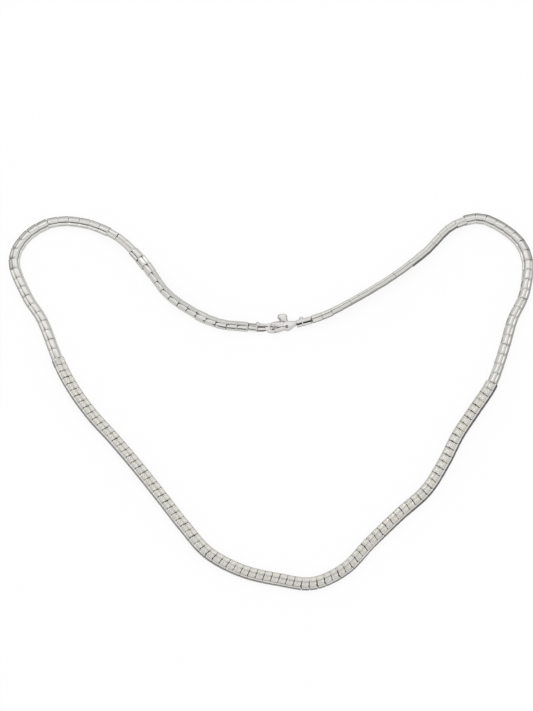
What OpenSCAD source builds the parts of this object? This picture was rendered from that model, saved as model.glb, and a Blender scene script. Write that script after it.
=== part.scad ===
// A short-link chain necklace with a paved front, closed by a lobster claw and lying flat in a loop.
// The origin is on the surface it lies on, under the middle of the loop; +Z is up, +Y is towards the clasp.

/* [Plain chain] */
// Width of a plain link across the chain
plain_w = 3.05; // [2.8:0.05:3.4]
// Height of a plain link above the surface
plain_h = 1.9; // [1.7:0.1:2.2]
// Rings along each plain tube
plain_rings = 22; // [16:1:26]

/* [Paved front] */
// Width of a paved link across the chain
paved_w = 3.4; // [3.2:0.1:3.8]
// Height of a paved link above the surface
paved_h = 2; // [1.8:0.1:2.3]
// Rings along the paved tube
paved_rings = 35; // [26:1:40]
// Gap left between one piece and the next
seam = 0.1; // [0.06:0.02:0.2]

/* [Caps] */
// Width of an end cap across the chain
cap_w = 2.2; // [2.0:0.1:2.4]
// Height of an end cap above the surface
cap_h = 1.9; // [1.8:0.1:2.0]

/* [Catch] */
// Height of the middle of the clasp above the surface
clasp_z = 1.2; // [1.16:0.02:1.3]
// Thickness of the catch loop
loop_t = 0.45; // [0.4:0.05:0.5]
// Radius of the round end of the catch loop
loop_r = 1.16; // [1.14:0.01:1.18]
// Radius of the eye that the hook passes through
eye_r = 0.86; // [0.84:0.01:0.88]
// Tilt of the catch loop about the chain
loop_tilt = 55; // [52:1:58]

/* [Claw] */
// Thickness of the claw's body
body_t = 1.8; // [1.7:0.1:1.9]
// Thickness of the hook
hook_t = 0.72; // [0.6:0.02:0.74]
// Thickness of the lever between the cheeks
lever_t = 0.85; // [0.75:0.05:0.9]
// Thickness of the thumb tab's pad
tab_t = 1.3; // [1.1:0.1:1.4]
// Radius of the rivet
rivet_r = 0.33; // [0.3:0.01:0.35]
// How far the gate swings inwards, in degrees
gate_swing = 15; // [10:1:16]

/* [Hidden] */
$fn = 32;

// The middle line of the chain as it lies, from the left cap round the loop to the right cap
route = [
  [-6.5, 21], [-14.5, 22], [-22, 25.5], [-29, 31], [-35, 39.5], [-42, 47], [-51, 51.5],
  [-60.5, 52], [-68, 47.5], [-71, 40], [-67.5, 30], [-63, 22.5], [-58.5, 11.5],
  [-54.5, 3.5], [-49, -4.5], [-42.5, -12], [-36, -20], [-29.5, -28.5], [-23.5, -36.5],
  [-17, -44], [-8, -49], [2, -51.5], [11, -52.5], [19.5, -48.5], [26.5, -41],
  [34, -33.5], [41.5, -26.5], [46.5, -18.5], [50.5, -10.5], [55, -3.5], [60, 4.5],
  [63.5, 14.5], [66, 23], [69.5, 31], [70.5, 40.5], [67, 47.5], [58.5, 53],
  [50, 51], [42, 43], [33.5, 36], [24.5, 30], [16, 25], [11, 23]
];
// Points of the route where the paving starts and ends
paving_from = 12;
paving_to = 30;
route_end = len(route) - 1;

// The short straight lines of the two end caps
cap_left_line = [[-6.4, 20.99], [-4.3, 20.7]];
cap_right_line = [[10.8, 22.93], [8.2, 22.1]];
collar_grow = 1.12;
collar_left_line = [[-4.5, 20.73], [-3.9, 20.65]];
collar_right_line = [[8.25, 22.13], [7.6, 21.95]];
bump_r = 0.35;
bump_left = [-4.1, 21.5, 1.65];
bump_right = [8, 22.85, 1.8];

// The catch loop: the middle of its eye, and the slot that runs back to the collar
eye_at = [-1.4, 20.5];
loop_root_x = -4.2;
loop_root_w = 1.6;
slot_w = 0.3;
slot_root_x = -3.7;

// Rows of x, y and half width along the hook, from the cheeks to its tip
hook_line = [
  [3.6, 20.45, 0.5], [2.3, 19.98, 0.42], [1, 19.6, 0.4], [-0.1, 19.4, 0.42],
  [-1.1, 19.7, 0.36], [-1.5, 20.4, 0.34], [-1.22, 21.2, 0.34], [-0.46, 21.62, 0.32]
];
// Last row of the hook that is as thick as the body
hook_root_rows = 2;
// Rows of x, y and half width along the gate, from the rivet to its tip
gate_line = [
  [4.1, 20.6, 0.55], [3, 21.2, 0.85], [1.6, 21.55, 0.75], [0.6, 21.62, 0.5], [0.34, 21.64, 0.33]
];
rivet_at = [4.1, 20.6];
cheek_at = [4.3, 21.05];
cheek_r = 1.3;
tail_at = [6.2, 21.72];
tail_r = 0.7;
neck_end = [7.52, 21.96];
neck_r = 0.42;
neck_room = 0.3;
// Space between the lever and what it moves beside
lever_gap = 0.12;
pin_gap = 0.03;
tab_mid = [2.9, 23.7];
tab_size = [2.7, 1.5];
tab_corner = 0.55;
tab_neck_x = [2.5, 4.1];
tab_neck_y = [21.6, 23.4];
head_r = 0.5;
head_t = 0.12;
curve_steps = 5;

// Section of a link, seen along the chain: flat below, domed above
function dome(w, h) = [
  [-0.39 * w, 0], [0.39 * w, 0], [0.5 * w, 0.2 * h], [0.44 * w, 0.65 * h],
  [0.2 * w, h], [-0.2 * w, h], [-0.44 * w, 0.65 * h], [-0.5 * w, 0.2 * h]
];

// A smooth curve through a list of points, with t counted in spans
function before(list, i) = i > 0 ? list[i - 1] : 2 * list[0] - list[1];
function after(list, i) = i < len(list) ? list[i] : 2 * list[i - 1] - list[i - 2];
function on_curve(list, t) =
  let (i = min(floor(t), len(list) - 2), s = t - i,
    a = before(list, i), b = list[i], c = list[i + 1], d = after(list, i + 2))
  0.5 * (2 * b + (c - a) * s + (2 * a - 5 * b + 4 * c - d) * s ^ 2 + (3 * b - a - 3 * c + d) * s ^ 3);
function heading(list, t) =
  let (ahead = on_curve(list, min(t + 0.01, len(list) - 1)), behind = on_curve(list, max(t - 0.01, 0)),
    way = [ahead.x - behind.x, ahead.y - behind.y])
  way / norm(way);

// Half the seam, as a share of the span that starts at point i
function seam_share(i) = seam / 2 / norm(route[i + 1] - route[i]);

// Outline of a bar that follows rows of x, y and half width, with a round tip
function bar_side(rows, t, turn) =
  let (p = on_curve(rows, t), d = heading(rows, t))
  [p.x - turn * d.y * p.z, p.y + turn * d.x * p.z];
function bar_outline(rows) =
  let (last = len(rows) - 1, n = last * curve_steps, tip = rows[last], d = heading(rows, last))
  concat(
    [for (k = [0 : n]) bar_side(rows, k / curve_steps, -1)],
    [for (a = [-60 : 30 : 60]) [
      tip.x + tip.z * (d.x * cos(a) - d.y * sin(a)), tip.y + tip.z * (d.y * cos(a) + d.x * sin(a))]],
    [for (k = [n : -1 : 0]) bar_side(rows, k / curve_steps, 1)]
  );

// A closed tube along part of a line, with its section standing upright
module tube(line, from_t, to_t, rings, section) {
  n = len(section);
  last = (rings - 1) * n;
  points = [
    for (k = [0 : rings - 1])
      let (t = from_t + (to_t - from_t) * k / (rings - 1), p = on_curve(line, t), d = heading(line, t))
      for (s = section) [p.x - d.y * s.x, p.y + d.x * s.x, s.y]
  ];
  sides = [
    for (k = [0 : rings - 2], j = [0 : n - 1])
      let (a = k * n + j, b = k * n + (j + 1) % n)
      each [[a, a + n, b + n], [a, b + n, b]]
  ];
  first_end = [for (j = [1 : n - 2]) [0, j, j + 1]];
  last_end = [for (j = [1 : n - 2]) [last, last + j + 1, last + j]];
  polyhedron(points, concat(sides, first_end, last_end), convexity = 10);
}

module chain_left() {
  color("silver")
    tube(route, 0, paving_from - seam_share(paving_from), plain_rings, dome(plain_w, plain_h));
}

module paved_front() {
  color("gainsboro")
    tube(route, paving_from + seam_share(paving_from), paving_to - seam_share(paving_to),
      paved_rings, dome(paved_w, paved_h));
}

module chain_right() {
  color("silver")
    tube(route, paving_to + seam_share(paving_to), route_end, plain_rings, dome(plain_w, plain_h));
}

// A short stub with a collar and a small bump at the clasp's end
module cap(line, collar_line, bump_at) {
  tube(line, 0, 1, 2, dome(cap_w, cap_h));
  tube(collar_line, 0, 1, 2, dome(cap_w, cap_h) * collar_grow);
  translate(bump_at) sphere(r = bump_r);
}

module catch_loop() {
  translate([0, eye_at.y, clasp_z])
    rotate([loop_tilt, 0, 0])
    linear_extrude(height = loop_t, center = true)
    difference() {
      hull() {
        translate([eye_at.x, 0]) circle(r = loop_r);
        translate([loop_root_x, -loop_root_w / 2]) square([loop_t, loop_root_w]);
      }
      translate([eye_at.x, 0]) circle(r = eye_r);
      translate([slot_root_x, -slot_w / 2]) square([eye_at.x - slot_root_x, slot_w]);
    }
}

module cap_left() {
  color("silver") {
    cap(cap_left_line, collar_left_line, bump_left);
    catch_loop();
  }
}

module cap_right() {
  color("silver")
    difference() {
      cap(cap_right_line, collar_right_line, bump_right);
      neck(neck_r + seam, neck_room);
    }
}

// The round neck of the claw's tail, from the body into the right collar
module neck(r, past) {
  way = neck_end - tail_at;
  translate([tail_at.x, tail_at.y, clasp_z])
    rotate([0, 90, atan2(way.y, way.x)])
    cylinder(r = r, h = norm(way) + past, $fn = 32);
}

module lever_outline() {
  polygon(bar_outline(gate_line));
  translate(rivet_at) circle(r = gate_line[0].z, $fn = 48);
  translate([tab_neck_x[0], tab_neck_y[0]])
    square([tab_neck_x[1] - tab_neck_x[0], tab_neck_y[1] - tab_neck_y[0]]);
}

// The room that the lever sweeps between the cheeks
module lever_room() {
  for (turn = [0, gate_swing / 2, gate_swing])
    translate(rivet_at) rotate(turn) translate(-rivet_at) offset(r = lever_gap) lever_outline();
}

module slab(t) {
  translate([0, 0, clasp_z]) linear_extrude(height = t, center = true) children();
}

module clasp_claw() {
  color("silver") {
    difference() {
      union() {
        slab(body_t)
          hull() {
            translate(cheek_at) circle(r = cheek_r);
            translate(tail_at) circle(r = tail_r);
          }
        slab(body_t) polygon(bar_outline([for (k = [0 : hook_root_rows]) hook_line[k]]));
        slab(hook_t) polygon(bar_outline(hook_line));
        neck(neck_r, 0);
      }
      slab(lever_t + 2 * lever_gap) lever_room();
      translate([rivet_at.x, rivet_at.y, 0]) cylinder(r = rivet_r + pin_gap, h = 3 * clasp_z, $fn = 48);
    }
  }
}

module clasp_lever() {
  color("gainsboro")
    difference() {
      union() {
        slab(lever_t) lever_outline();
        slab(tab_t)
          offset(r = tab_corner)
          translate(tab_mid) square(tab_size - [2 * tab_corner, 2 * tab_corner], center = true);
      }
      translate([rivet_at.x, rivet_at.y, 0]) cylinder(r = rivet_r + pin_gap, h = 3 * clasp_z, $fn = 48);
    }
}

module clasp_rivet() {
  color("silver")
    translate([rivet_at.x, rivet_at.y, clasp_z]) {
      cylinder(r = rivet_r, h = body_t + 2 * head_t, center = true, $fn = 48);
      for (side = [-1, 1])
        translate([0, 0, side * (body_t + seam + head_t) / 2])
          cylinder(r = head_r, h = head_t, center = true, $fn = 48);
    }
}

chain_left();
paved_front();
chain_right();
cap_left();
cap_right();
clasp_claw();
clasp_lever();
clasp_rivet();
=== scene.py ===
import math
import random

import bmesh
import bpy
from mathutils import Matrix, Vector


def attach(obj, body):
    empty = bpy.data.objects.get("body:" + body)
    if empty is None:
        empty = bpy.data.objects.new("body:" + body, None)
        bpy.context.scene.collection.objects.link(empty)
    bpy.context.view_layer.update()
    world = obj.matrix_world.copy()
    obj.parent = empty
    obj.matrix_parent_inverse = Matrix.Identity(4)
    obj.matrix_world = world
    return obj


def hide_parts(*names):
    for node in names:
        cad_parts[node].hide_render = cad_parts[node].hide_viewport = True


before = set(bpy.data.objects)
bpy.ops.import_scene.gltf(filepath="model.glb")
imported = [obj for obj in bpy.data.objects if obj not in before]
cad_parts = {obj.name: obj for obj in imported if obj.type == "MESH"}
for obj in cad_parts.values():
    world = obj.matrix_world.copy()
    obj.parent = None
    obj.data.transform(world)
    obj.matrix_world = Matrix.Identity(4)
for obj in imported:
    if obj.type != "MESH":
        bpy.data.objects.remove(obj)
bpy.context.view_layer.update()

mm = 0.001
scene = bpy.context.scene

# The middle line of the chain on the floor, from the left cap round the loop to the right cap, in metres
route = [
    (-0.0065, 0.0208), (-0.0145, 0.0219), (-0.022, 0.0255), (-0.029, 0.031), (-0.035, 0.0395),
    (-0.042, 0.047), (-0.051, 0.0515), (-0.0605, 0.052), (-0.068, 0.0475), (-0.071, 0.04),
    (-0.0673, 0.0301), (-0.0628, 0.0226), (-0.0585, 0.0115), (-0.0545, 0.0035), (-0.049, -0.0045),
    (-0.0425, -0.012), (-0.036, -0.02), (-0.0295, -0.0285), (-0.0235, -0.0365), (-0.017, -0.044),
    (-0.008, -0.049), (0.002, -0.0515), (0.011, -0.0525), (0.0195, -0.0485), (0.0265, -0.041),
    (0.034, -0.0335), (0.0415, -0.0265), (0.0465, -0.0185), (0.0505, -0.0105), (0.055, -0.0035),
    (0.06, 0.0045), (0.0635, 0.0145), (0.066, 0.023), (0.0695, 0.031), (0.0705, 0.0405),
    (0.0672, 0.0476), (0.0585, 0.053), (0.0501, 0.0508), (0.0422, 0.0428), (0.0336, 0.0358),
    (0.0246, 0.0299), (0.016, 0.025), (0.011, 0.023),
]
pavingFrom = 12  # the points of the route where the paving starts and ends
pavingTo = 30
routeEnd = len(route) - 1
routeSamples = 4000  # places measured along each part of the route
lineStep = 0.25 * mm  # between the points of a line that links are set on

# Roll of the chain at points of the route, in degrees: plus lifts the edge inside the loop
rolls = [
    (0, -62), (1.2, -58), (1.5, -47), (2.0, -61), (2.8, -59), (3.5, -54), (3.9, -40), (4.1, -14),
    (4.35, 20), (4.75, 44), (5.15, 50), (5.4, 26), (5.6, 19), (7.0, 14), (7.6, -3), (8.2, -5), (9.0, -8),
    (9.6, -19), (11.8, -20), (12.2, -6), (19.0, -4), (21.0, 3), (23.5, 1), (25.8, -8), (27.0, -12),
    (29.7, -12), (30.3, -30), (33.2, -27), (34.0, 1), (35.6, 3), (36.5, 10), (36.8, 38), (37.0, 50),
    (37.3, 55), (38.2, 57), (38.7, 73), (40.2, 74), (40.8, 68), (41.2, 57), (42, 52),
]

camera = {
    "elevation": 69.3, "distance": 1.0, "aim": (-0.00144, 0.01083, 0.00547),
    "lens": 186.15, "sensor": 36, "nearest": 0.01,
}


def makeCamera():
    tilt = math.radians(camera["elevation"])
    away = Vector((0, -math.cos(tilt), math.sin(tilt)))
    data = bpy.data.cameras.new("camera")
    data.lens = camera["lens"]
    data.sensor_width = camera["sensor"]
    data.clip_start = camera["nearest"]
    eye = bpy.data.objects.new("camera", data)
    eye.location = Vector(camera["aim"]) + away * camera["distance"]
    eye.rotation_euler = (math.radians(90) - tilt, 0, 0)
    scene.collection.objects.link(eye)
    scene.camera = eye
    scene.view_settings.view_transform = "Standard"


makeCamera()
print("camera made")


# Small helpers for node trees and meshes
def addNode(tree, kind, **settings):
    node = tree.nodes.new(kind)
    for key, value in settings.items():
        setattr(node, key, value)
    return node


# A node's input takes another node's output or a plain value
def feed(tree, value, socket):
    if isinstance(value, bpy.types.NodeSocket):
        tree.links.new(value, socket)
    else:
        socket.default_value = value


def mathOf(tree, operation, first, second=0.0):
    node = addNode(tree, "ShaderNodeMath", operation=operation)
    feed(tree, first, node.inputs[0])
    feed(tree, second, node.inputs[1])
    return node.outputs[0]


def mixOf(tree, share, first, second, blend="MIX"):
    mix = addNode(tree, "ShaderNodeMix", data_type="RGBA", blend_type=blend)
    feed(tree, share, mix.inputs["Factor"])
    feed(tree, first, mix.inputs["A"])
    feed(tree, second, mix.inputs["B"])
    return mix.outputs["Result"]


def linkObject(name, mesh):
    piece = bpy.data.objects.new(name, mesh)
    scene.collection.objects.link(piece)
    return piece


# Faces between rows of points and over both ends
def closeRows(shape, rows, smoothEnds=True):
    count = len(rows[0])
    for a, b in zip(rows, rows[1:]):
        for i in range(count):
            j = (i + 1) % count
            shape.faces.new((a[i], a[j], b[j], b[i])).smooth = True
    for end in (rows[0][::-1], rows[-1]):
        shape.faces.new(end).smooth = smoothEnds


def loftInto(shape, rings):
    closeRows(shape, [[shape.verts.new(p) for p in ring] for ring in rings])


def meshFrom(name, shape):
    bmesh.ops.recalc_face_normals(shape, faces=shape.faces)
    mesh = bpy.data.meshes.new(name)
    shape.to_mesh(mesh)
    shape.free()
    return mesh


# The place at t on a smooth curve through the points, which lie at 0, 1, 2 and so on
def onCurve(points, t):
    i = min(int(t), len(points) - 2)
    s = t - i
    b, c = Vector(points[i]), Vector(points[i + 1])
    a = Vector(points[i - 1]) if i > 0 else 2 * b - c
    d = Vector(points[i + 2]) if i + 2 < len(points) else 2 * c - b
    square, cube = 2 * a - 5 * b + 4 * c - d, 3 * b - a - 3 * c + d
    return 0.5 * (2 * b + (c - a) * s + square * s ** 2 + cube * s ** 3)


def rollAt(t):
    (t0, r0), (t1, r1) = next(pair for pair in zip(rolls, rolls[1:]) if t <= pair[1][0])
    s = (t - t0) / (t1 - t0)
    return math.radians(r0 + (r1 - r0) * s * s * (3 - 2 * s))


# Points and rolls a step apart, from the middle of one link of this part of the route to that of another
def stretchPoints(part, pitch, span):
    fine = [part[0] + (part[1] - part[0]) * k / routeSamples for k in range(routeSamples + 1)]
    spots = [onCurve(route, t) for t in fine]
    run = [0.0]
    for p, q in zip(spots, spots[1:]):
        run.append(run[-1] + (q - p).length)
    each = run[-1] / round(run[-1] / (pitch * mm))
    low, high = (span[0] + 0.5) * each, (span[1] - 0.5) * each
    count = max(2, int((high - low) / lineStep))
    chosen, k = [], 0
    for n in range(count + 1):
        target = low + (high - low) * n / count
        while run[k + 1] < target and k + 2 < len(run):
            k += 1
        s = (target - run[k]) / (run[k + 1] - run[k])
        chosen.append((spots[k].lerp(spots[k + 1], s), rollAt(fine[k])))
    return chosen


# A link is a rail block, a crown on it and a core that bridges the gap to the next link, in mm. The core is
# painted dark all over, painted shade in the gap. Y is positive towards the inside of the loop. Edge, wall,
# slope, seam, the shade of foot and groove and names that end in End give how much painted shade a place
# gets,
# 0 to 1: painted shade in grooves, gaps, under the crown and at the ends of blocks, and painted dark
#         reflection
# on edges and walls that face the front. Stroke draws the crown's outer edge in towards one end of the link,
# and bow bends both ends of the crown in an S.
plainLink = {
    "pitch": 2.9, "width": 3.08, "height": 1.95, "footWidth": 2.0, "footRise": 0.45,
    "railLength": 2.93, "railHeight": 1.28, "railDrop": 0.08, "railRound": 0.32, "railTaper": 0.02,
    "crownLength": 2.87, "crownWidth": 1.65, "crownWall": 0.14, "crownShift": 0.0, "crownPower": 2.2,
    "endRound": 0.08, "crownEnd": 0.45, "railEndRound": 0.03, "railEnd": 0.1, "stroke": 0.22, "steps": 8,
    "inner": {"edge": (0.1, 0.1, 0.0, 0.0), "wall": 0.0, "groove": 0.16, "grooveDepth": 0.75, "slope": 0.0},
    "outer": {
        "edge": (0.5, 0.55, 0.35, 0.05), "wall": 0.5, "groove": 0.08, "grooveDepth": 0.12, "slope": 0.0},
    "footDepth": 0.5, "seam": 0.0, "bow": 0.0, "coreInset": 0.35, "coreOver": 0.2,
}
pavedLink = {
    "pitch": 2.05, "width": 3.32, "height": 2.1, "footWidth": 2.8, "footRise": 0.3,
    "railLength": 2.06, "railHeight": 1.72, "railDrop": 0.04, "railRound": 0.25, "railTaper": 0.02,
    "crownLength": 1.87, "crownWidth": 2.72, "crownWall": 0.02, "crownShift": 0.22, "crownPower": 2.2,
    "endRound": 0.09, "crownEnd": 0.75, "railEndRound": 0.03, "railEnd": 0.3, "stroke": 0.0, "steps": 8,
    "inner": {"edge": (0.2, 0.1, 0.0, 0.0), "wall": 0.3, "groove": 0.04, "grooveDepth": 0.1, "slope": 0.0},
    "outer": {"edge": (0.8, 0.6, 0.1, 0.0), "wall": 0.5, "groove": 0.04, "grooveDepth": 0.0, "slope": 0.0},
    "footDepth": 1.0, "seam": 0.5, "bow": 0.15, "coreInset": 0.35, "coreOver": 0.2,
}
# What the sections of all links share: angles round the rail's edge, small rises and drops in mm, and
# footShade, the painted shade at the crown's foot as a share of the groove's painted shade
profile = {
    "edgeAngles": (0, 30, 60, 90), "wallRise": 0.12, "lipDrop": 0.01, "floorDrop": 0.05, "floorShare": 0.7,
    "underCrown": 0.1, "crownRoot": 0.2, "crownFoot": 0.06, "footShade": 0.2,
    "coreDrop": 0.25, "coreBevel": 0.2, "coreFoot": 0.1, "coreFootShare": 0.8,
}
# And their blocks: angles round an end in radians, where its shade and the rail's taper start, how the
# stroke grows towards the edge, and from how many degrees an edge is sharp
blockEnd = {
    "angles": (1.25, 0.8, 0.3), "shadeFrom": 0.6, "taperFrom": 0.6, "strokePower": 4, "sharpAngle": 35,
}


def crownHeight(link, y):
    share = min(1.0, abs(2 * y / link["crownWidth"]))
    foot = link["railHeight"] + link["crownWall"]
    return foot + (link["height"] - foot) * (1 - share ** link["crownPower"]) ** (1 / link["crownPower"])


# Both sides of a section, in order round it; half gives one side from its way out and its looks
def sides(link, half):
    return half(1, link["inner"]) + half(-1, link["outer"])[::-1]


# Each point of a section is y, z and its painted shade, 0 to 1
def railSection(link):
    side, rail, r, drop = link["width"] / 2, link["railHeight"], link["railRound"], link["railDrop"]
    edge, shift, rise = link["crownWidth"] / 2, link["crownShift"], link["footRise"]

    def half(way, looks):
        lip, floor = edge + looks["groove"], edge + looks["groove"] * profile["floorShare"]
        points = [(link["footWidth"] / 2 * way, 0, link["footDepth"]), (side * way, rise, link["footDepth"])]
        points.append((side * way, rise + profile["wallRise"], looks["wall"]))
        for angle, shadeShare in zip(profile["edgeAngles"], looks["edge"]):
            a = math.radians(angle)
            points.append(((side - r + r * math.cos(a)) * way, rail - drop - r + r * math.sin(a), shadeShare))
        points.append((lip * way + shift, rail - profile["lipDrop"], looks["edge"][-1]))
        points.append((floor * way + shift, rail - profile["floorDrop"], looks["grooveDepth"]))
        points.append(((edge - profile["underCrown"]) * way + shift, rail - profile["floorDrop"], 1.0))
        return points

    return sides(link, half)


def crownSection(link):
    edge, rail, steps = link["crownWidth"] / 2, link["railHeight"], link["steps"]

    def half(way, looks):
        shadeShare = looks["grooveDepth"]
        points = [(edge * way, rail - profile["crownRoot"], 1.0)]
        points.append((edge * way, rail + profile["crownFoot"], shadeShare))
        for k in range(steps):
            y = edge * math.cos(math.radians(90 * k / steps))
            shade = looks["slope"] * (1 - k / steps)
            if k == 0:
                shade = max(shade, profile["footShade"] * shadeShare)
            points.append((y * way, crownHeight(link, y), shade))
        return points if way == -1 else points + [(0, link["height"], link["seam"])]

    return [(y + link["crownShift"], z, shadeShare) for y, z, shadeShare in sides(link, half)]


# The core is painted fully dark: painted shade in the gap between two links
def coreSection(link):
    wide, high = link["width"] / 2 - link["coreInset"], link["railHeight"] - profile["coreDrop"]
    bevel = profile["coreBevel"]
    half = [(wide * profile["coreFootShare"], profile["coreFoot"]), (wide, link["footRise"]),
            (wide, high - bevel), (wide - bevel, high)]
    return [(y, z, 1.0) for y, z in half] + [(-y, z, 1.0) for y, z in half[::-1]]


# Places along a block, each with how far the section is drawn in there
def blockPlaces(length, rounding):
    if not rounding:
        return [(-length / 2, 0), (length / 2, 0)]
    end = [(-length / 2 + rounding * (1 - math.sin(a)), rounding * (1 - math.cos(a)))
           for a in blockEnd["angles"]]
    return end + [(-length / 4, 0), (0, 0), (length / 4, 0)] + [(-x, inset) for x, inset in end[::-1]]


# A closed block along X with this section and rounded ends; its points carry their painted shade in the
# depth attribute, darkened towards the rounded ends
def blockInto(shape, link, section, length, rounding, part):
    depth, spot = shape.verts.layers.float["depth"], shape.verts.layers.float_vector["spot"]
    middle, half = link["height"] / 2, link["width"] / 2
    base = section[0][1]
    top = max(z for _, z, _ in section) - base
    taperFrom = blockEnd["taperFrom"]
    rows = []
    for x, inset in blockPlaces(length, rounding):
        share = 2 * x / length
        thin = link["railTaper"] * max(0, abs(share) - taperFrom) / (1 - taperFrom) if part == "rail" else 0
        stroke = link["stroke"] * max(0, share) if part == "crown" else 0
        shaded = rounding > 0 and inset >= blockEnd["shadeFrom"] * rounding
        ring = []
        for y, z, shadeShare in section:
            across = y * (1 - (inset + thin) / half)
            if y < 0:
                across += stroke * min(1, -2 * y / link["crownWidth"]) ** blockEnd["strokePower"]
            bow = link["bow"] * math.sin(math.pi * across / half) if part == "crown" else 0
            low = inset * (z - base) / top + middle
            vertex = shape.verts.new(((x + bow) * mm, across * mm, (z - low) * mm))
            # painted shade: the section's value, or the End value near the rounded ends where the gap's
            # shade falls
            vertex[depth] = max(shadeShare, link[part + "End"]) if shaded else shadeShare
            vertex[spot] = (x, across, z)
            ring.append(vertex)
        rows.append(ring)
    closeRows(shape, rows, smoothEnds=False)


def makeLink(name, link, material):
    shape = bmesh.new()
    # depth holds the painted shade, 0 to 1, that the metal mixes in; spot holds the place in the link for
    # the streaks
    shape.verts.layers.float.new("depth")
    shape.verts.layers.float_vector.new("spot")
    blockInto(shape, link, railSection(link), link["railLength"], link["railEndRound"], "rail")
    blockInto(shape, link, crownSection(link), link["crownLength"], link["endRound"], "crown")
    blockInto(shape, link, coreSection(link), link["pitch"] + link["coreOver"], 0, "core")
    mesh = meshFrom(name, shape)
    mesh.set_sharp_from_angle(angle=math.radians(blockEnd["sharpAngle"]))
    mesh.materials.append(material)
    return bpy.data.objects.new(name, mesh)


# Stones and grains of the paving, in the frame of one link, in mm
paving = {
    "stoneRadius": 0.475, "tableRadius": 0.26, "crown": 0.15, "sink": 0.05, "depth": 0.22,
    "stoneSides": 8, "starOut": 0.01, "starRise": 0.62,
    "rowsAlong": (-0.48, 0.48), "rowsAcross": (-0.66, 0.66), "wander": 0.03,
    "grainRadius": 0.1, "grainLift": 0.03,
    "grainRows": (-1.22, 0, 1.22), "grainPlaces": (-0.48, 0, 0.48), "endGrains": (-0.88, 0.88),
}


# Place and upright turn of the crown's surface
def onCrown(link, x, y):
    reach = 0.02
    slope = (crownHeight(link, y + reach) - crownHeight(link, y - reach)) / (2 * reach)
    spot = Vector((x, y + link["crownShift"], crownHeight(link, y) - link["height"] / 2)) * mm
    return Matrix.Translation(spot) @ Matrix.Rotation(math.atan(slope), 4, "X")


# A round brilliant with its table, stars, kites and girdle, closed below by its pavilion
def addStone(shape, place, layer, draw):
    r, t, count = paving["stoneRadius"], paving["tableRadius"], paving["stoneSides"]
    top, low = paving["crown"] - paving["sink"], -paving["sink"]
    turn = place @ Matrix.Rotation(draw.uniform(0, math.tau), 4, "Z")

    def ring(radius, z, offset):
        turns = [math.tau * (k + offset) / count for k in range(count)]
        return [shape.verts.new(turn @ (Vector((radius * math.cos(a), radius * math.sin(a), z)) * mm))
                for a in turns]

    table = ring(t, top, 0)
    star = ring((r + t) / 2 + paving["starOut"], low + (top - low) * paving["starRise"], 0.5)
    girdle = ring(r, low, 0)
    middle = shape.verts.new(turn @ (Vector((0, 0, top)) * mm))
    point = shape.verts.new(turn @ (Vector((0, 0, low - paving["depth"])) * mm))
    for k in range(count):
        n = (k + 1) % count
        facets = [
            (middle, table[k], table[n]), (table[k], star[k], table[n]), (table[n], star[k], girdle[n]),
            (table[k], girdle[k], star[k]), (star[k], girdle[k], girdle[n]),
            (girdle[k], point, girdle[n]),
        ]
        # painted sparkle: each facet gets a random brightness in place of the light it would catch
        for corners in facets:
            shape.faces.new(corners)[layer] = draw.uniform(0, 1)


def makeStones(name, link, seed, material):
    draw = random.Random(seed)
    shape = bmesh.new()
    layer = shape.faces.layers.float.new("paintedSparkle")
    for x in paving["rowsAlong"]:
        for y in paving["rowsAcross"]:
            a, b = (draw.uniform(-1, 1) * paving["wander"] for _ in range(2))
            addStone(shape, onCrown(link, x + a, y + b), layer, draw)
    mesh = meshFrom(name, shape)
    mesh.materials.append(material)
    return bpy.data.objects.new(name, mesh)


def makeGrains(name, link, material):
    shape = bmesh.new()
    spots = [(x, y) for x in paving["grainPlaces"] for y in paving["grainRows"]]
    spots += [(x, y) for x in paving["endGrains"] for y in paving["rowsAcross"]]
    lift = Matrix.Translation((0, 0, paving["grainLift"] * mm))
    for x, y in spots:
        place = onCrown(link, x, y) @ lift
        bmesh.ops.create_icosphere(shape, subdivisions=1, radius=paving["grainRadius"] * mm, matrix=place)
    for face in shape.faces:
        face.smooth = True
    mesh = meshFrom(name, shape)
    mesh.materials.append(material)
    return bpy.data.objects.new(name, mesh)


# Materials
def newMaterial(name):
    material = bpy.data.materials.new(name)
    material.use_nodes = True
    tree = material.node_tree
    shader = tree.nodes["Principled BSDF"]
    return material, tree, shader


def noiseOn(tree, scale, detail=2.0):
    place = addNode(tree, "ShaderNodeTexCoord")
    noise = addNode(tree, "ShaderNodeTexNoise")
    noise.inputs["Scale"].default_value = scale
    noise.inputs["Detail"].default_value = detail
    tree.links.new(place.outputs["Object"], noise.inputs["Vector"])
    return noise.outputs["Fac"]


def rampOf(tree, source, stops):
    ramp = addNode(tree, "ShaderNodeValToRGB")
    while len(ramp.color_ramp.elements) < len(stops):
        ramp.color_ramp.elements.new(0.5)
    for element, (position, colour) in zip(ramp.color_ramp.elements, stops):
        element.position = position
        element.color = (*colour, 1) if isinstance(colour, tuple) else (colour, colour, colour, 1)
    tree.links.new(source, ramp.inputs["Fac"])
    return ramp.outputs["Color"]


# Patterns in the finishes: noise scales a metre with their detail, and the stops of their ramps
patterns = {
    "tone": 900, "toneStops": (0.3, 0.7), "rough": (2500, 4), "roughStops": (0.3, 0.75), "cast": (1400, 3),
    "streakStretch": (0.3, 4.5, 4.5), "streakDetail": 3.0, "streakChange": 120, "streakShift": 8.0,
    "streakStops": [(0.35, 0.9), (0.55, 1.0)], "bumpStrength": 0.15,
}
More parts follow.
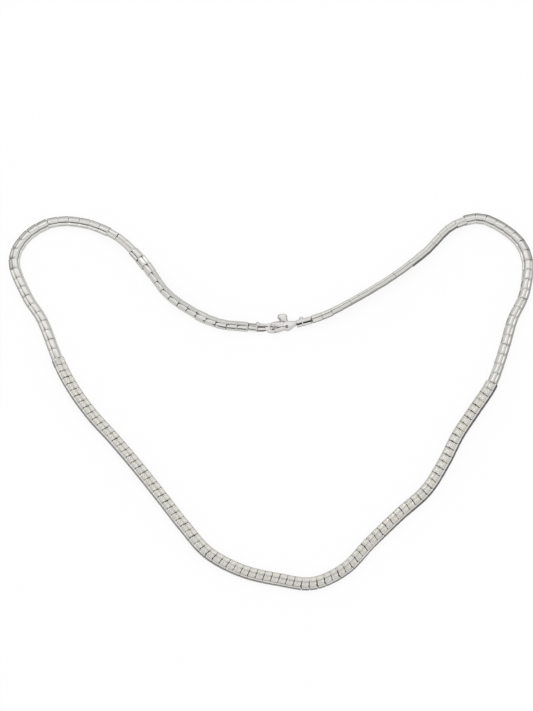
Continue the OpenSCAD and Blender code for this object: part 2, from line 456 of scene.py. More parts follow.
# Each metal's colour at its darkest and lightest, roughness, bump in mm, the colour of its painted shade,
# and streaks
metals = {
    "linkMetal": {
        "low": (0.85, 0.84, 0.8), "high": (0.9, 0.89, 0.86), "roughness": (0.05, 0.12), "bumpSize": 0.02,
        "shadeColour": (0.2, 0.19, 0.18), "streaked": True},
    "capMetal": {
        "low": (0.85, 0.84, 0.8), "high": (0.9, 0.89, 0.86), "roughness": (0.05, 0.12), "bumpSize": 0.02,
        "shadeColour": (0.04, 0.04, 0.04), "streaked": True},
    "settingMetal": {
        "low": (0.78, 0.765, 0.72), "high": (0.86, 0.845, 0.8), "roughness": (0.08, 0.18), "bumpSize": 0.02,
        "shadeColour": (0.07, 0.07, 0.065), "streaked": True},
    "claspMetal": {
        "low": (0.8, 0.78, 0.76), "high": (0.88, 0.86, 0.85), "roughness": (0.18, 0.28), "bumpSize": 0.03,
        "shadeColour": (0.03, 0.03, 0.03), "streaked": False},
    "rivetMetal": {
        "low": (0.26, 0.25, 0.24), "high": (0.36, 0.35, 0.33), "roughness": (0.2, 0.35), "bumpSize": 0.02,
        "shadeColour": (0.03, 0.03, 0.03), "streaked": False},
}
# Stones: facets ramps the painted sparkle, a random brightness for each facet in place of the light it
# catches
stoneLooks = {
    "metallic": 0.85, "roughness": 0.03, "facets": [(0.0, 0.5), (0.35, 0.85), (1.0, 1.0)], "tint": 700,
    "tints": [(0.3, (1.0, 0.92, 0.82)), (0.5, (0.96, 0.95, 0.85)), (0.7, (0.96, 0.94, 0.93))],
}


# Fine polishing lines along each link, a little different from one place to the next
def streaksOn(tree):
    spot = addNode(tree, "ShaderNodeAttribute", attribute_name="spot")
    stretch = addNode(tree, "ShaderNodeMapping")
    stretch.inputs["Scale"].default_value = patterns["streakStretch"]
    tree.links.new(spot.outputs["Vector"], stretch.inputs["Vector"])
    lines = addNode(tree, "ShaderNodeTexNoise", noise_dimensions="4D")
    lines.inputs["Scale"].default_value = 1.0
    lines.inputs["Detail"].default_value = patterns["streakDetail"]
    change = mathOf(tree, "MULTIPLY", noiseOn(tree, patterns["streakChange"], 0), patterns["streakShift"])
    tree.links.new(change, lines.inputs["W"])
    tree.links.new(stretch.outputs["Vector"], lines.inputs["Vector"])
    return lines.outputs["Fac"]


def polishedMetal(name, low, high, roughness, bumpSize, shadeColour, streaked):
    material, tree, shader = newMaterial(name)
    shader.inputs["Metallic"].default_value = 1.0
    colour = rampOf(tree, noiseOn(tree, patterns["tone"]), list(zip(patterns["toneStops"], (low, high))))
    rough = rampOf(tree, noiseOn(tree, *patterns["rough"]), list(zip(patterns["roughStops"], roughness)))
    # The depth attribute mixes in the painted shade colour: painted shade in grooves, gaps and hollows, and
    # painted dark reflection on edges
    depth = addNode(tree, "ShaderNodeAttribute", attribute_name="depth").outputs["Fac"]
    colour = mixOf(tree, depth, colour, (*shadeColour, 1))
    if streaked:
        height = streaksOn(tree)
        colour = mixOf(tree, 1.0, colour, rampOf(tree, height, patterns["streakStops"]), "MULTIPLY")
    else:
        height = noiseOn(tree, *patterns["cast"])
    tree.links.new(colour, shader.inputs["Base Color"])
    tree.links.new(rough, shader.inputs["Roughness"])
    bump = addNode(tree, "ShaderNodeBump")
    bump.inputs["Strength"].default_value = patterns["bumpStrength"]
    bump.inputs["Distance"].default_value = bumpSize * mm
    tree.links.new(height, bump.inputs["Height"])
    tree.links.new(bump.outputs["Normal"], shader.inputs["Normal"])
    return material


def brilliantStone(name):
    material, tree, shader = newMaterial(name)
    shader.inputs["Metallic"].default_value = stoneLooks["metallic"]
    shader.inputs["Roughness"].default_value = stoneLooks["roughness"]
    # The painted sparkle darkens some facets and leaves others bright
    paintedSparkle = addNode(tree, "ShaderNodeAttribute", attribute_name="paintedSparkle").outputs["Fac"]
    shade = rampOf(tree, paintedSparkle, stoneLooks["facets"])
    tint = rampOf(tree, noiseOn(tree, stoneLooks["tint"]), stoneLooks["tints"])
    tree.links.new(mixOf(tree, 1.0, shade, tint, "MULTIPLY"), shader.inputs["Base Color"])
    return material


linkMetal, capMetal, settingMetal, claspMetal, rivetMetal = (
    polishedMetal(name, **looks) for name, looks in metals.items())
stoneMaterial = brilliantStone("brilliants")
print("materials made")

repeatInputs = {
    "Link": "Object", "Count": "Int", "Slide": "Float", "Wobble": "Float", "Seed": "Int",
    "Material": "Material",
}


# Geometry Nodes that set one thing at even steps along a line, upright and rolled as the line says
def repeatTree():
    tree = bpy.data.node_groups.new("repeatAlong", "GeometryNodeTree")
    face = tree.interface
    face.new_socket("Geometry", in_out="INPUT", socket_type="NodeSocketGeometry")
    for title, kind in repeatInputs.items():
        face.new_socket(title, in_out="INPUT", socket_type="NodeSocket" + kind)
    face.new_socket("Geometry", in_out="OUTPUT", socket_type="NodeSocketGeometry")
    given, out = addNode(tree, "NodeGroupInput"), addNode(tree, "NodeGroupOutput")
    wire = tree.links.new
    curve = addNode(tree, "GeometryNodeMeshToCurve")
    wire(given.outputs["Geometry"], curve.inputs["Mesh"])
    upright = addNode(tree, "GeometryNodeSetCurveNormal")
    try:
        upright.mode = "Z_UP"
    except AttributeError:
        upright.inputs["Mode"].default_value = "Z Up"
    wire(curve.outputs["Curve"], upright.inputs["Curve"])
    roll = addNode(tree, "GeometryNodeInputNamedAttribute", data_type="FLOAT")
    roll.inputs["Name"].default_value = "roll"
    tilt = addNode(tree, "GeometryNodeSetCurveTilt")
    wire(upright.outputs["Curve"], tilt.inputs["Curve"])
    wire(roll.outputs["Attribute"], tilt.inputs["Tilt"])
    places = addNode(tree, "GeometryNodeCurveToPoints", mode="COUNT")
    wire(tilt.outputs["Curve"], places.inputs["Curve"])
    wire(given.outputs["Count"], places.inputs["Count"])
    # each thing's X runs along the line and its Y to the left of it
    along = addNode(tree, "FunctionNodeAlignRotationToVector", axis="X")
    wire(places.outputs["Tangent"], along.inputs["Vector"])
    left = addNode(tree, "ShaderNodeVectorMath", operation="SCALE")
    left.inputs["Scale"].default_value = -1
    wire(places.outputs["Normal"], left.inputs[0])
    across = addNode(tree, "FunctionNodeAlignRotationToVector", axis="Y", pivot_axis="X")
    wire(along.outputs["Rotation"], across.inputs["Rotation"])
    wire(left.outputs["Vector"], across.inputs["Vector"])
    # small random turns, then small random slides along the line
    shake = addNode(tree, "FunctionNodeRandomValue", data_type="FLOAT_VECTOR")
    wire(mathOf(tree, "MULTIPLY", given.outputs["Wobble"], -1), shake.inputs[0])
    wire(given.outputs["Wobble"], shake.inputs[1])
    wire(given.outputs["Seed"], shake.inputs["Seed"])
    turned = addNode(tree, "FunctionNodeRotateRotation", rotation_space="LOCAL")
    wire(across.outputs["Rotation"], turned.inputs["Rotation"])
    wire(shake.outputs["Value"], turned.inputs["Rotate By"])
    slip = addNode(tree, "FunctionNodeRandomValue", data_type="FLOAT")
    wire(given.outputs["Seed"], slip.inputs["Seed"])
    wire(mathOf(tree, "MULTIPLY", given.outputs["Slide"], -1), slip.inputs[2])
    wire(given.outputs["Slide"], slip.inputs[3])
    push = addNode(tree, "ShaderNodeVectorMath", operation="SCALE")
    wire(places.outputs["Tangent"], push.inputs[0])
    wire(slip.outputs[1], push.inputs["Scale"])
    moved = addNode(tree, "GeometryNodeSetPosition")
    wire(places.outputs["Points"], moved.inputs["Geometry"])
    wire(push.outputs["Vector"], moved.inputs["Offset"])
    thing = addNode(tree, "GeometryNodeObjectInfo")
    wire(given.outputs["Link"], thing.inputs["Object"])
    spread = addNode(tree, "GeometryNodeInstanceOnPoints")
    wire(moved.outputs["Geometry"], spread.inputs["Points"])
    wire(thing.outputs["Geometry"], spread.inputs["Instance"])
    wire(turned.outputs["Rotation"], spread.inputs["Rotation"])
    real = addNode(tree, "GeometryNodeRealizeInstances")
    wire(spread.outputs["Instances"], real.inputs["Geometry"])
    finish = addNode(tree, "GeometryNodeSetMaterial")
    wire(real.outputs["Geometry"], finish.inputs["Geometry"])
    wire(given.outputs["Material"], finish.inputs["Material"])
    wire(finish.outputs["Geometry"], out.inputs["Geometry"])
    return tree


repeatAlong = repeatTree()


def socketOf(tree, title):
    return next(i.identifier for i in tree.interface.items_tree if i.name == title and i.in_out == "INPUT")


# How far a rolled link's middle moves across and up, to lie on the floor over the route
def settle(link, roll):
    points = [(y, z - link["height"] / 2) for y, z, _ in railSection(link) + crownSection(link)]
    across = [y * math.cos(roll) - z * math.sin(roll) for y, z in points]
    up = [y * math.sin(roll) + z * math.cos(roll) for y, z in points]
    return -(max(across) + min(across)) / 2 * mm, -min(up) * mm


# The line that a stretch's links are set on, with its roll at each point; where a link's middle is
# raised, the line leans towards the camera, so that the link is still seen over the route
def makeLine(link, part, span):
    points = stretchPoints(part, link["pitch"], span)
    mesh = bpy.data.meshes.new("line")
    places = [p for p, _ in points]
    ways = [(q - p).normalized() for p, q in zip(places, places[1:])]
    spots = []
    for (p, roll), way in zip(points, ways + ways[-1:]):
        across, up = settle(link, roll)
        lean = (up - link["height"] / 2 * mm) / math.tan(math.radians(camera["elevation"]))
        spots.append((p.x - way.y * across, p.y + way.x * across - lean, up))
    mesh.from_pydata(spots, [(k, k + 1) for k in range(len(spots) - 1)], [])
    rollOf = mesh.attributes.new("roll", "FLOAT", "POINT")
    rollOf.data.foreach_set("value", [roll for _, roll in points])
    return mesh


def repeatOn(name, line, span, thing, material, seed, slide, wobble):
    piece = linkObject(name, line.copy())
    nodes = piece.modifiers.new("repeat", "NODES")
    nodes.node_group = repeatAlong
    values = {
        "Link": thing, "Count": span[1] - span[0], "Slide": slide * mm, "Wobble": math.radians(wobble),
        "Seed": seed, "Material": material}
    for title, value in values.items():
        nodes[socketOf(repeatAlong, title)] = value
    evaluated = piece.evaluated_get(bpy.context.evaluated_depsgraph_get())
    mesh = bpy.data.meshes.new_from_object(evaluated)
    piece.modifiers.clear()
    piece.data = mesh
    mesh.name = name
    return piece


def changed(link, **changes):
    made = dict(link)
    for key, value in changes.items():
        made[key] = dict(link[key], **value) if isinstance(value, dict) else value
    return made


# Stretches of links, each with its own painted shade and painted dark reflection on edges, walls and
# grooves, set by the way the stretch faces, and small changes of shape: name, node, part of the route, first
# and last link, seed and link. All of the paving is one node.
rightLink = changed(plainLink, stroke=0.0, crownWall=0.05, outer={"grooveDepth": 0.0})
leftPart, pavedPart, rightPart = (0, pavingFrom), (pavingFrom, pavingTo), (pavingTo, routeEnd)
plainStretches = (
    ("left_top", "chain_left", leftPart, (0, 14), 3, changed(
        plainLink, footDepth=0.85, inner={"edge": (0.5, 0.4, 0.1, 0.0)},
        outer={"edge": (0.2, 0.25, 0.1, 0.0), "wall": 0.1})),
    ("left_bend", "chain_left", leftPart, (14, 17), 4, changed(
        plainLink, stroke=0.0, crownLength=2.92, crownWall=0.04,
        inner={"groove": 0.03, "grooveDepth": 0.1}, outer={"edge": (0.6, 0.7, 0.6, 0.45), "slope": 0.35})),
    ("left_side", "chain_left", leftPart, (17, 29), 5, changed(
        plainLink, outer={"edge": (0.75, 0.8, 0.75, 0.5), "wall": 0.6, "slope": 0.45})),
    ("left_low", "chain_left", leftPart, (29, 39), 6, changed(
        plainLink, outer={"edge": (0.4, 0.4, 0.2, 0.0)})),
    ("right_low", "chain_right", rightPart, (0, 13), 7, changed(
        rightLink, footDepth=0.25, outer={"edge": (0.5, 0.55, 0.45, 0.2), "slope": 0.05})),
    ("right_side", "chain_right", rightPart, (13, 21), 8, changed(
        rightLink, coreInset=0.05, coreOver=0.6,
        outer={"edge": (0.9, 0.95, 0.85, 0.6), "wall": 0.8, "slope": 0.45})),
    ("right_bend", "chain_right", rightPart, (21, 28), 10, changed(
        rightLink, footDepth=1.0, footRise=0.6, crownLength=2.92, crownWall=0.04,
        inner={"groove": 0.03, "grooveDepth": 0.1, "wall": 0.7})),
    ("right_top", "chain_right", rightPart, (28, 39), 9, changed(
        rightLink, footDepth=0.6, inner={"groove": 0.32, "grooveDepth": 1.0})),
)
# The front and right paving gets painted dark reflection on its outer edges and walls, which face the front
frontLink = changed(pavedLink, footDepth=0.3, footRise=0.4)
pavedStretches = (
    ("left", (0, 50), 5, pavedLink),
    ("front", (50, 66), 12, changed(frontLink, outer={"edge": (1.0, 0.9, 0.15, 0.0), "wall": 0.7})),
    ("right", (66, 86), 13, changed(frontLink, outer={"edge": (1.0, 1.0, 0.25, 0.0), "wall": 0.7})),
)
plainShake = {"slide": 0.03, "wobble": 1.5}  # mm and degrees
pavedShake = {"slide": 0.04, "wobble": 1.2}


def makePlainStretch(name, node, part, span, seed, link):
    thing = makeLink("link_" + name, link, linkMetal)
    links = repeatOn("links_" + name, makeLine(link, part, span), span, thing, linkMetal, seed, **plainShake)
    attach(links, "root")
    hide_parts(node)


def makePavedStretch(name, span, seed, link):
    line = makeLine(link, pavedPart, span)
    things = (
        ("settings_", makeLink("pavedLink", link, settingMetal), settingMetal, "paved_metal"),
        ("stones_", makeStones("stoneSet", link, seed, stoneMaterial), stoneMaterial, "stones"),
        ("grains_", makeGrains("grainSet", link, settingMetal), settingMetal, "paved_metal"),
    )
    for kind, thing, material, finish in things:
        piece = repeatOn(kind + name, line, span, thing, material, seed, **pavedShake)
        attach(piece, "root")
        if kind == "settings_":
            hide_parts("paved_front")


for stretch in plainStretches:
    makePlainStretch(*stretch)
print("links made")
for stretch in pavedStretches:
    makePavedStretch(*stretch)
print("paving made")


# The clasp, in mm. A rod's rows are x, y, z, half width and half height; a round is x, y and radius.
clasp = {
    "middle": 1.2, "voxel": 0.06, "joined": 0.002, "smoothing": 8, "smoothShare": 0.5,
    "hook": [
        (3.6, 20.25, 1.2, 0.42, 0.5), (2.3, 19.66, 1.2, 0.33, 0.5), (1.2, 19.34, 1.2, 0.31, 0.48),
        (0.2, 19.35, 1.2, 0.38, 0.48), (-0.6, 19.62, 1.2, 0.55, 0.5), (-1.0, 20.2, 1.2, 0.7, 0.52),
        (-1.0, 20.9, 1.2, 0.68, 0.5), (-0.68, 21.55, 1.2, 0.48, 0.42)],
    "guard": [
        (3.9, 21.0, 0.45, 0.75, 0.24), (2.6, 20.85, 0.45, 0.9, 0.24), (1.2, 20.7, 0.47, 1.05, 0.24),
        (-0.3, 20.7, 0.5, 0.9, 0.26)],
    # painted shade along gaps and hollows, for the claw and the gate: start, end, radius and strength
    "clawLines": [
        ((0.3, 20.2, 0.7), (1.75, 20.28, 0.7), 0.42, 1.0),
        ((-1.8, 20.7, 1.65), (-1.1, 20.75, 1.65), 0.22, 0.8),
        ((2.6, 20.72, 1.7), (3.4, 20.62, 2.0), 0.2, 0.8)],
    "gateLines": [
        ((2.3, 20.68, 1.4), (3.5, 20.6, 1.6), 0.2, 0.8), ((2.3, 22.4, 1.6), (3.6, 22.15, 1.6), 0.22, 0.6),
        ((2.0, 23.25, 1.5), (2.45, 22.7, 1.5), 0.25, 0.45)],
    "thumb": [
        (3.55, 22.1, 1.2, 0.9, 0.55), (3.3, 22.8, 1.2, 1.1, 0.6), (3.0, 23.5, 1.2, 1.2, 0.58),
        (2.95, 24.35, 1.2, 0.95, 0.5)],
    "leaf": [
        (0.32, 21.6, 1.2, 0.66, 0.42), (1.6, 21.68, 1.2, 0.87, 0.44), (2.9, 21.6, 1.2, 0.98, 0.46),
        (3.3, 21.35, 1.2, 0.8, 0.44)],
    "bodyRounds": [(4.3, 21.05, 1.3), (6.2, 21.72, 0.7)],
    "rootRounds": [(3.6, 20.45, 0.5), (1.0, 19.6, 0.4)],
    "gateRounds": [(4.1, 20.6, 0.55), (3.0, 21.2, 0.85), (1.6, 21.55, 0.75), (0.22, 21.62, 0.36)],
    "neckRounds": [(3.45, 21.6, 0.9), (3.25, 22.8, 1.1)],
    "tabRounds": [(2.75, 23.7, 1.0), (3.2, 23.7, 1.0)],
    "cheekCore": 0.5, "tailFrom": 4.4, "tailLength": 1.6, "tailThin": 0.75,
    "dome": 0.7, "edgeKeep": 0.3, "thumbBlunt": 0.35,
    # steep rims get painted shade and dark reflection, which fades out where they face south
    "rim": 0.75, "steepGain": 1.05, "southFade": 2, "lineReach": 2.2, "lineFlatness": 0.4,
    # in the mouth, at the hook's tip and at the tail's end their painted shade is weaker: west, east, south,
    # north
    "brightRim": 0.15,
    "brightRims": ((-1.0, 3.3, 19.9, 21.95), (-0.75, 0.3, 21.9, 22.35), (6.4, 9, 20, 22.1)),
}
# The pin: where it stands, and its radius and height over the clasp's middle at each step
pin = {
    "place": (4.1, 20.6), "around": 32, "sharpAngle": 50,
    "rows": [(0.2, -1.07), (0.38, -1.02), (0.44, -0.93), (0.3, -0.9),
             (0.3, 0.9), (0.44, 0.93), (0.38, 1.02), (0.2, 1.07)],
}
rod = {"around": 16, "steps": 5, "endAngles": (25, 50, 80), "reach": 0.05}


# A closed rod with oval sections along a smooth line through its rows; blunt is how round its ends are
def rodInto(shape, rows, turn=Matrix.Identity(4), blunt=1.0):
    places, sizes = [row[:3] for row in rows], [row[3:] for row in rows]
    last, steps, reach = len(rows) - 1, rod["steps"], rod["reach"]
    stations = [(0, -angle) for angle in rod["endAngles"][::-1]]
    stations += [(k / steps, 0) for k in range(last * steps + 1)]
    stations += [(last, angle) for angle in rod["endAngles"]]
    turns = [math.tau * k / rod["around"] for k in range(rod["around"])]
    rings = []
    for t, cap in stations:
        spot, size = onCurve(places, t), onCurve(sizes, t)
        way = (onCurve(places, min(t + reach, last)) - onCurve(places, max(t - reach, 0))).normalized()
        across = Vector((-way.y, way.x, 0)).normalized()
        up = way.cross(across)
        spot = spot + way * size.x * blunt * math.sin(math.radians(cap))
        size = size * math.cos(math.radians(cap))
        rings.append([
            turn @ (spot + across * size.x * math.cos(a) + up * size.y * math.sin(a)) for a in turns])
    loftInto(shape, rings)


def ballInto(shape, spot, radius):
    bmesh.ops.create_icosphere(shape, subdivisions=3, radius=radius, matrix=Matrix.Translation(spot))


def roundsAlong(rounds, steps=8):
    return [tuple(onCurve(rounds, k / steps)) for k in range((len(rounds) - 1) * steps + 1)]


# The CAD node's own shape in mm, with its loose triangles joined
def copyOf(node):
    shape = bmesh.new()
    shape.from_mesh(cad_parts[node].data)
    bmesh.ops.scale(shape, vec=(1 / mm, 1 / mm, 1 / mm), verts=shape.verts)
    bmesh.ops.remove_doubles(shape, verts=shape.verts, dist=clasp["joined"])
    return shape


# Lowers the skin towards the outline that the rounds give; core is the half height that stays flat
def domeSkin(skin, rounds, core):
    for vertex in skin.verts:
        x, y, z = vertex.co
        rise = z - clasp["middle"]
        share = min(1, max(0, max(r - math.hypot(x - a, y - b) for a, b, r in rounds)) / clasp["dome"])
        keep = clasp["edgeKeep"] + (1 - clasp["edgeKeep"]) * math.sqrt(1 - (1 - share) ** 2)
        tail = min(1, max(0, (x - clasp["tailFrom"]) / clasp["tailLength"]))
        flat = min(abs(rise), core * (1 - clasp["tailThin"] * tail))
        vertex.co.z = clasp["middle"] + math.copysign(flat + (abs(rise) - flat) * keep, rise)


def smoothSkin(skin):
    for _ in range(clasp["smoothing"]):
        bmesh.ops.smooth_vert(
            skin, verts=skin.verts, factor=clasp["smoothShare"],
            use_axis_x=True, use_axis_y=True, use_axis_z=True)


# Painted shade in the depth attribute: on steep rims by the way they face, and along lines in gaps and
# hollows
def shadeSkin(skin, shadeLines):
    depth = skin.verts.layers.float.new("depth")
    skin.normal_update()
    for vertex in skin.verts:
        steep = max(0, 1 - clasp["steepGain"] * abs(vertex.normal.z))
        x, y, _ = vertex.co
        bright = any(
            west < x < east and south < y < north for west, east, south, north in clasp["brightRims"])
        rim = clasp["brightRim"] if bright else clasp["rim"]
        vertex[depth] = rim * steep * min(1, max(0, 1 + clasp["southFade"] * vertex.normal.y))
        for start, end, radius, strength in shadeLines:
            start, run = Vector(start), Vector(end) - Vector(start)
            share = min(1, max(0, (vertex.co - start).dot(run) / run.length_squared))
            away = vertex.co - start - run * share
            away.z *= clasp["lineFlatness"]
            near = 1 - away.length / radius
            vertex[depth] = max(vertex[depth], strength * min(1, clasp["lineReach"] * near))


# One cast skin round everything in the shape
def castFrom(name, shape, rounds=(), core=0.0, shadeLines=()):
    piece = linkObject(name, meshFrom(name, shape))
    melt = piece.modifiers.new("melt", "REMESH")
    melt.mode = "VOXEL"
    melt.voxel_size = clasp["voxel"]
    skin = bmesh.new()
    skin.from_object(piece, bpy.context.evaluated_depsgraph_get())
    piece.modifiers.clear()
    if rounds:
        domeSkin(skin, rounds, core)
    smoothSkin(skin)
    shadeSkin(skin, shadeLines)
    bmesh.ops.scale(skin, vec=(mm, mm, mm), verts=skin.verts)
    for face in skin.faces:
        face.smooth = True
    piece.data = meshFrom(name, skin)
    piece.data.materials.append(claspMetal)
    return piece


def makeClaw():
    shape = copyOf("clasp_claw")
    rodInto(shape, clasp["hook"])
    rodInto(shape, clasp["guard"])
    rounds = roundsAlong(clasp["bodyRounds"]) + roundsAlong(clasp["rootRounds"])
    claw = castFrom("claw", shape, rounds, clasp["cheekCore"], clasp["clawLines"])
    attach(claw, "root")
    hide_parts("clasp_claw")


def makeGate():
    shape = copyOf("clasp_lever")
    rodInto(shape, clasp["leaf"])
    rodInto(shape, clasp["thumb"], blunt=clasp["thumbBlunt"])
    rounds = [r for part in ("gateRounds", "neckRounds", "tabRounds") for r in roundsAlong(clasp[part])]
    gate = castFrom("gate", shape, rounds, shadeLines=clasp["gateLines"])
    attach(gate, "lever")
    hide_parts("clasp_lever")


def makeRivet():
    x, y = pin["place"]
    shape = bmesh.new()
    turns = [math.tau * k / pin["around"] for k in range(pin["around"])]
    loftInto(shape, [[((x + r * math.cos(a)) * mm, (y + r * math.sin(a)) * mm, (clasp["middle"] + z) * mm)
                      for a in turns] for r, z in pin["rows"]])
    rivet = linkObject("rivet", meshFrom("rivet", shape))
    rivet.data.set_sharp_from_angle(angle=math.radians(pin["sharpAngle"]))
    rivet.data.materials.append(rivetMetal)
    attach(rivet, "root")
    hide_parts("clasp_rivet")


# The caps: a short ribbed block each, like a narrow link, and a fitting cast in one piece, in mm; each cap's
# wide inner groove, and the whole inner side of the left cap, get full painted shade
caps = {
    "left": {
        "from": (-4.3, 20.52), "to": (-6.45, 20.75), "height": 1.15, "roll": -60,
        "looks": {
            "width": 2.3, "height": 1.75, "footWidth": 1.5, "railHeight": 1.1, "crownWidth": 1.4,
            "inner": {
                "edge": (1.0, 1.0, 1.0, 1.0), "wall": 1.0, "groove": 0.3, "grooveDepth": 1.0,
                "slope": 0.0}}},
    "right": {
        "from": (10.75, 23.0), "to": (8.3, 22.3), "height": 1.15, "roll": 32,
        "looks": {
            "width": 2.6, "height": 1.9, "footWidth": 1.5, "railHeight": 1.0, "crownWidth": 1.3,
            "crownWall": 0.35}},
    "shoulder": {
        "from": (8.2, 22.27), "to": (6.75, 21.85), "height": 1.15, "roll": 32,
        "looks": {
            "width": 2.3, "height": 1.8, "footWidth": 1.5, "railHeight": 0.95, "crownWidth": 1.2,
            "crownWall": 0.35, "crownEnd": 0.1, "railEnd": 0.0}},
    # A wide inner groove with full painted shade in it
    "wideShadedGroove": {
        "edge": (0.1, 0.1, 0.0, 0.0), "wall": 0.0, "groove": 0.34, "grooveDepth": 1.0, "slope": 0.0},
    "coreShort": 0.3,
}
# The catch loop lies in its own tilted frame, with its slot and web; the painted shade in its slot is turned
# with it, and its painted shade below is in the clasp's frame
fittings = {
    "loop": [
        (-4.2, 0.62, 0, 0.48, 0.34), (-3.2, 0.62, 0, 0.47, 0.34), (-2.2, 0.6, 0, 0.43, 0.32),
        (-1.3, 0.56, 0, 0.28, 0.28), (-0.85, 0.3, 0, 0.2, 0.22), (-0.78, 0, 0, 0.2, 0.22),
        (-0.85, -0.3, 0, 0.2, 0.22), (-1.3, -0.62, 0, 0.3, 0.28), (-2.2, -0.68, 0, 0.52, 0.32),
        (-3.2, -0.68, 0, 0.54, 0.34), (-4.2, -0.66, 0, 0.54, 0.34)],
    "web": [(-4.1, 0, 0.02, 0.4, 0.1), (-1.5, 0, 0.02, 0.4, 0.1)],
    "loopPlace": (0, 20.74, 1.15), "loopTilt": 25,
    "loopSlot": ((-3.75, 0, 0.1), (-1.2, 0, 0.1), 0.2, 0.9),
    "loopShade": ((-4.0, 19.68, 0.8), (-1.6, 19.72, 0.8), 0.3, 0.9),
    "knuckleLeft": [(-4.25, 20.6, 1.1, 1.14, 0.95), (-3.95, 20.58, 1.1, 1.14, 0.95)],
    "knuckleRight": [(8.4, 22.33, 1.1, 1.2, 0.95), (8.15, 22.25, 1.1, 1.2, 0.95)], "blunt": 0.12,
    "bumpLeft": (-3.85, 21.55, 1.4), "bumpRight": (8.1, 23.05, 1.5), "bump": 0.64,
}


def makeCap(name, part, node=None):
    values = caps[part]
    start, end = Vector((*values["from"], 0)), Vector((*values["to"], 0))
    run = end - start
    link = changed(plainLink, railLength=run.length, crownLength=run.length, stroke=0.0,
                   pitch=run.length - caps["coreShort"], inner=caps["wideShadedGroove"]) | values["looks"]
    block = makeLink(name, link, capMetal)
    middle = (start + end) / 2 + Vector((0, 0, values["height"]))
    roll = Matrix.Rotation(math.radians(values["roll"]), 4, "X")
    heading = Matrix.Rotation(math.atan2(run.y, run.x), 4, "Z")
    block.data.transform(Matrix.Translation(middle * mm) @ heading @ roll)
    scene.collection.objects.link(block)
    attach(block, "root")
    if node:
        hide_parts(node)


def knuckleFrom(name, shape, side, shadeLines=()):
    rodInto(shape, fittings["knuckle" + side], blunt=fittings["blunt"])
    ballInto(shape, fittings["bump" + side], fittings["bump"])
    return castFrom(name, shape, shadeLines=shadeLines)


def makeFittings():
    shape = bmesh.new()
    tilt = Matrix.Rotation(math.radians(fittings["loopTilt"]), 4, "X")
    turn = Matrix.Translation(fittings["loopPlace"]) @ tilt
    rodInto(shape, fittings["loop"], turn)
    rodInto(shape, fittings["web"], turn)
    start, end, radius, strength = fittings["loopSlot"]
    slot = (turn @ Vector(start), turn @ Vector(end), radius, strength)
    catch = knuckleFrom("catch", shape, "Left", [slot, fittings["loopShade"]])
    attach(catch, "root")
    knuckle = knuckleFrom("knuckle", bmesh.new(), "Right")
    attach(knuckle, "root")


makeClaw()
makeGate()
makeRivet()
makeCap("capLeft", "left", "cap_left")
makeCap("capRight", "right", "cap_right")
makeCap("shoulder", "shoulder")
makeFittings()
print("clasp made")


# Floor and light: a white room with bright windows in front and behind, and a low dark side in front
studio = {
    "floorSize": 3.0, "floorWhite": 0.16, "floorRoughness": 0.9, "floorGlow": 0.87,
    "low": 0.67, "high": 0.76, "highFrom": 0.9,
    # azimuth from behind clockwise, elevation, half width, half height, edge and brightness
    "patches": (
        (180, 52, 34, 15, 0.6, 0.9),
        (-12, 60, 47, 15, 0.6, 0.95),
        (190, 2, 20, 12, 0.4, 0.02),
    ),
    "cornerPower": 4,
    "panel": {"azimuth": -35, "elevation": 56, "distance": 1.2, "size": (0.4, 0.2), "radiance": 0.4},
}


def makeFloor():
    shape = bmesh.new()
    bmesh.ops.create_grid(shape, x_segments=1, y_segments=1, size=studio["floorSize"] / 2)
    floor = linkObject("floor", meshFrom("floor", shape))
    material, tree, shader = newMaterial("floorPaper")
    white = studio["floorWhite"]
    shader.inputs["Base Color"].default_value = (white, white, white, 1)
    shader.inputs["Roughness"].default_value = studio["floorRoughness"]
    shader.inputs["Specular IOR Level"].default_value = 0.0
    shader.inputs["Emission Color"].default_value = (1, 1, 1, 1)
    shader.inputs["Emission Strength"].default_value = studio["floorGlow"]
    floor.data.materials.append(material)
    floor.visible_glossy = False


def dotWith(tree, source, vector):
    dot = addNode(tree, "ShaderNodeVectorMath", operation="DOT_PRODUCT")
    dot.inputs[1].default_value = vector
    tree.links.new(source, dot.inputs[0])
    return dot.outputs["Value"]


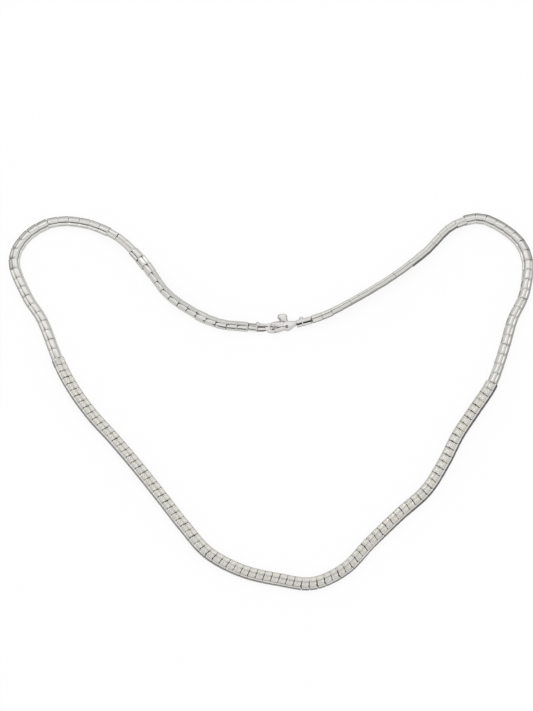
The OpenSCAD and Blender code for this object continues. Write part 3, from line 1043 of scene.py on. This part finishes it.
# How far a way lies from a patch's middle line, 1 at its edge, raised so that corners are round
def farOf(tree, way, axis, size):
    far = mathOf(tree, "DIVIDE", dotWith(tree, way, axis), math.sin(math.radians(size)))
    return mathOf(tree, "POWER", mathOf(tree, "ABSOLUTE", far), studio["cornerPower"])


# The direction at an azimuth and elevation; azimuth 0 is behind the necklace, 90 on its right
def toward(azimuth, elevation):
    a, e = math.radians(azimuth), math.radians(elevation)
    return Vector((math.sin(a) * math.cos(e), math.cos(a) * math.cos(e), math.sin(e)))


def makeSky():
    world = bpy.data.worlds.new("studio")
    scene.world = world
    world.use_nodes = True
    tree = world.node_tree
    back = tree.nodes["Background"]
    way = addNode(tree, "ShaderNodeTexCoord").outputs["Generated"]
    height = dotWith(tree, way, (0, 0, 1))
    light = rampOf(tree, height, [(0.0, studio["low"]), (studio["highFrom"], studio["high"])])
    for azimuth, elevation, width, tall, edge, brightness in studio["patches"]:
        centre = toward(azimuth, elevation)
        side = Vector((0, 0, 1)).cross(centre).normalized()
        up = centre.cross(side)
        reach = mathOf(tree, "ADD", farOf(tree, way, side, width), farOf(tree, way, up, tall))
        share = addNode(tree, "ShaderNodeMapRange", interpolation_type="SMOOTHSTEP")
        share.inputs["From Min"].default_value = 1 + edge
        share.inputs["From Max"].default_value = 1 - edge
        tree.links.new(reach, share.inputs["Value"])
        front = mathOf(tree, "GREATER_THAN", dotWith(tree, way, centre))
        part = mathOf(tree, "MULTIPLY", share.outputs["Result"], front)
        light = mixOf(tree, part, light, (brightness, brightness, brightness, 1))
    tree.links.new(light, back.inputs["Color"])


# A panel that faces the necklace
def softbox(name, azimuth, elevation, distance, size, radiance):
    way = toward(azimuth, elevation)
    data = bpy.data.lights.new(name, "AREA")
    data.shape = "RECTANGLE"
    data.size, data.size_y = size
    data.energy = radiance * math.pi * size[0] * size[1]
    lamp = bpy.data.objects.new(name, data)
    lamp.location = way * distance
    lamp.rotation_euler = (-way).to_track_quat("-Z", "Y").to_euler()
    scene.collection.objects.link(lamp)


makeFloor()
makeSky()
softbox("keyPanel", **studio["panel"])
print("floor and light made")
